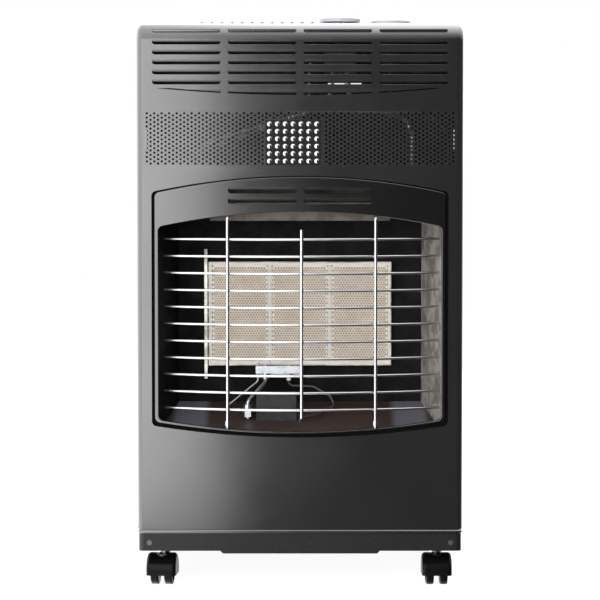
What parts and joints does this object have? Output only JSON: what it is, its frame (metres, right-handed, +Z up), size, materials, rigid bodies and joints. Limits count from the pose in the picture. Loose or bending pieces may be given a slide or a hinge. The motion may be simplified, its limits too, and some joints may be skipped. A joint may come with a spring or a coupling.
{
  "type": "portable gas cabinet heater",
  "caption": "Floor-standing gas cabinet heater: louvred steel casing on casters, ceramic-tile burner behind a bowed wire guard, and a rear bay for the gas cylinder.",
  "frame": {"origin": "on the floor under the middle of the overall box, guard included", "axes": "+Z up, +X to the right as one faces the burner, +Y to the back, where the cylinder goes in"},
  "size_m": [0.42, 0.448, 0.7473],
  "materials": {
    "casing_paint": "satin anthracite powder coat",
    "band_paint": "satin, finely perforated",
    "insert_metal": "bright embossed",
    "surround_paint": "gloss black",
    "guard_chrome": "bright plated wire",
    "reflector_steel": "mill-finish reflector steel",
    "hot_steel": "heat-resistant, matt, heat-stained",
    "cover_steel": "dark grey",
    "tray_paint": "satin dark grey",
    "fastener_steel": "dark plated screws",
    "zinc_steel": "zinc plated",
    "tile_ceramic": "matt perforated firing tile",
    "gasket_fibre": "ceramic fibre",
    "valve_alloy": "die cast",
    "pipe_alloy": "drawn tube",
    "brass": "turned",
    "probe_copper": "copper lead",
    "electrode_ceramic": "white",
    "lead_silicone": "silicone sleeved",
    "control_plastic": "black",
    "igniter_plastic": "black",
    "caster_plastic": "gloss black"
  },
  "bodies": {
    "cabinet": {"base_tray": "tray_paint", "bay_partition": "tray_paint", "burner_box": "reflector_steel", "burner_strap": "reflector_steel", "cabinet_fasteners": "fastener_steel", "caster_stems": "zinc_steel", "ceramic_tiles": "tile_ceramic", "feed_pipe": "pipe_alloy", "front_panel": "casing_paint", "gas_valve": "valve_alloy", "guard_grille": "guard_chrome", "heat_deflector": "hot_steel", "hose_tail": "brass", "igniter_bezel": "control_plastic", "igniter_body": "igniter_plastic", "ignition_electrode": "electrode_ceramic", "ignition_lead": "lead_silicone", "injector_manifold": "zinc_steel", "injectors": "brass", "knob_bezel": "control_plastic", "mixing_tubes": "zinc_steel", "pilot_bracket": "zinc_steel", "pilot_burner": "zinc_steel", "pilot_cover": "cover_steel", "pilot_nut": "zinc_steel", "pilot_tube": "pipe_alloy", "recess_back": "hot_steel", "recess_floor": "hot_steel", "reflector_left": "reflector_steel", "reflector_right": "reflector_steel", "side_panel_left": "casing_paint", "side_panel_right": "casing_paint", "thermocouple": "probe_copper", "tile_gasket": "gasket_fibre", "top_panel": "casing_paint", "vent_insert": "insert_metal", "vent_screen": "band_paint", "window_surround": "surround_paint"},
    "valve_press": {"thrust_collar": "brass"},
    "gas_control": {"valve_spindle": "brass", "control_knob": "control_plastic"},
    "piezo_button": {"igniter_button": "control_plastic"},
    "bay_cover": {"rear_cover": "casing_paint"},
    "caster_front_left": {"caster_hood_front_left": "caster_plastic", "caster_axle_front_left": "zinc_steel"},
    "wheel_front_left_left": {"wheel_front_left_left": "caster_plastic"},
    "wheel_front_left_right": {"wheel_front_left_right": "caster_plastic"},
    "caster_front_right": {"caster_hood_front_right": "caster_plastic", "caster_axle_front_right": "zinc_steel"},
    "wheel_front_right_left": {"wheel_front_right_left": "caster_plastic"},
    "wheel_front_right_right": {"wheel_front_right_right": "caster_plastic"},
    "caster_rear_left": {"caster_hood_rear_left": "caster_plastic", "caster_axle_rear_left": "zinc_steel"},
    "wheel_rear_left_left": {"wheel_rear_left_left": "caster_plastic"},
    "wheel_rear_left_right": {"wheel_rear_left_right": "caster_plastic"},
    "caster_rear_right": {"caster_hood_rear_right": "caster_plastic", "caster_axle_rear_right": "zinc_steel"},
    "wheel_rear_right_left": {"wheel_rear_right_left": "caster_plastic"},
    "wheel_rear_right_right": {"wheel_rear_right_right": "caster_plastic"}
  },
  "joints": [
    {"name": "knob_press", "type": "slide", "parent": "cabinet", "child": "valve_press", "axis": [0, 0, -1], "range_m": [0, 0.004], "stiffness_N_per_m": 600, "springref_m": -0.006},
    {"name": "knob_turn", "type": "hinge", "parent": "valve_press", "child": "gas_control", "pos_m": [0.053, -0.101, 0.737], "axis": [0, 0, 1], "range_deg": [0, 270]},
    {"name": "igniter_press", "type": "slide", "parent": "cabinet", "child": "piezo_button", "axis": [0, 0, -1], "range_m": [0, 0.007], "stiffness_N_per_m": 800, "springref_m": -0.004},
    {"name": "cover_pull_off", "type": "slide", "parent": "cabinet", "child": "bay_cover", "axis": [0, 1, 0], "range_m": [0, 0.25]},
    {"name": "caster_front_left_swivel", "type": "hinge", "parent": "cabinet", "child": "caster_front_left", "pos_m": [-0.179, -0.131, 0.04], "axis": [0, 0, 1], "continuous": true},
    {"name": "wheel_front_left_left_spin", "type": "hinge", "parent": "caster_front_left", "child": "wheel_front_left_left", "pos_m": [-0.18039, -0.15095, 0.02], "axis": [0.9976, -0.0698, 0], "continuous": true},
    {"name": "wheel_front_left_right_spin", "type": "hinge", "parent": "caster_front_left", "child": "wheel_front_left_right", "pos_m": [-0.18039, -0.15095, 0.02], "axis": [0.9976, -0.0698, 0], "continuous": true},
    {"name": "caster_front_right_swivel", "type": "hinge", "parent": "cabinet", "child": "caster_front_right", "pos_m": [0.179, -0.131, 0.04], "axis": [0, 0, 1], "continuous": true},
    {"name": "wheel_front_right_left_spin", "type": "hinge", "parent": "caster_front_right", "child": "wheel_front_right_left", "pos_m": [0.179, -0.151, 0.02], "axis": [1, 0, 0], "continuous": true},
    {"name": "wheel_front_right_right_spin", "type": "hinge", "parent": "caster_front_right", "child": "wheel_front_right_right", "pos_m": [0.179, -0.151, 0.02], "axis": [1, 0, 0], "continuous": true},
    {"name": "caster_rear_left_swivel", "type": "hinge", "parent": "cabinet", "child": "caster_rear_left", "pos_m": [-0.179, 0.164, 0.04], "axis": [0, 0, 1], "continuous": true},
    {"name": "wheel_rear_left_left_spin", "type": "hinge", "parent": "caster_rear_left", "child": "wheel_rear_left_left", "pos_m": [-0.179, 0.144, 0.02], "axis": [1, 0, 0], "continuous": true},
    {"name": "wheel_rear_left_right_spin", "type": "hinge", "parent": "caster_rear_left", "child": "wheel_rear_left_right", "pos_m": [-0.179, 0.144, 0.02], "axis": [1, 0, 0], "continuous": true},
    {"name": "caster_rear_right_swivel", "type": "hinge", "parent": "cabinet", "child": "caster_rear_right", "pos_m": [0.179, 0.164, 0.04], "axis": [0, 0, 1], "continuous": true},
    {"name": "wheel_rear_right_left_spin", "type": "hinge", "parent": "caster_rear_right", "child": "wheel_rear_right_left", "pos_m": [0.179, 0.144, 0.02], "axis": [1, 0, 0], "continuous": true},
    {"name": "wheel_rear_right_right_spin", "type": "hinge", "parent": "caster_rear_right", "child": "wheel_rear_right_right", "pos_m": [0.179, 0.144, 0.02], "axis": [1, 0, 0], "continuous": true}
  ]
}
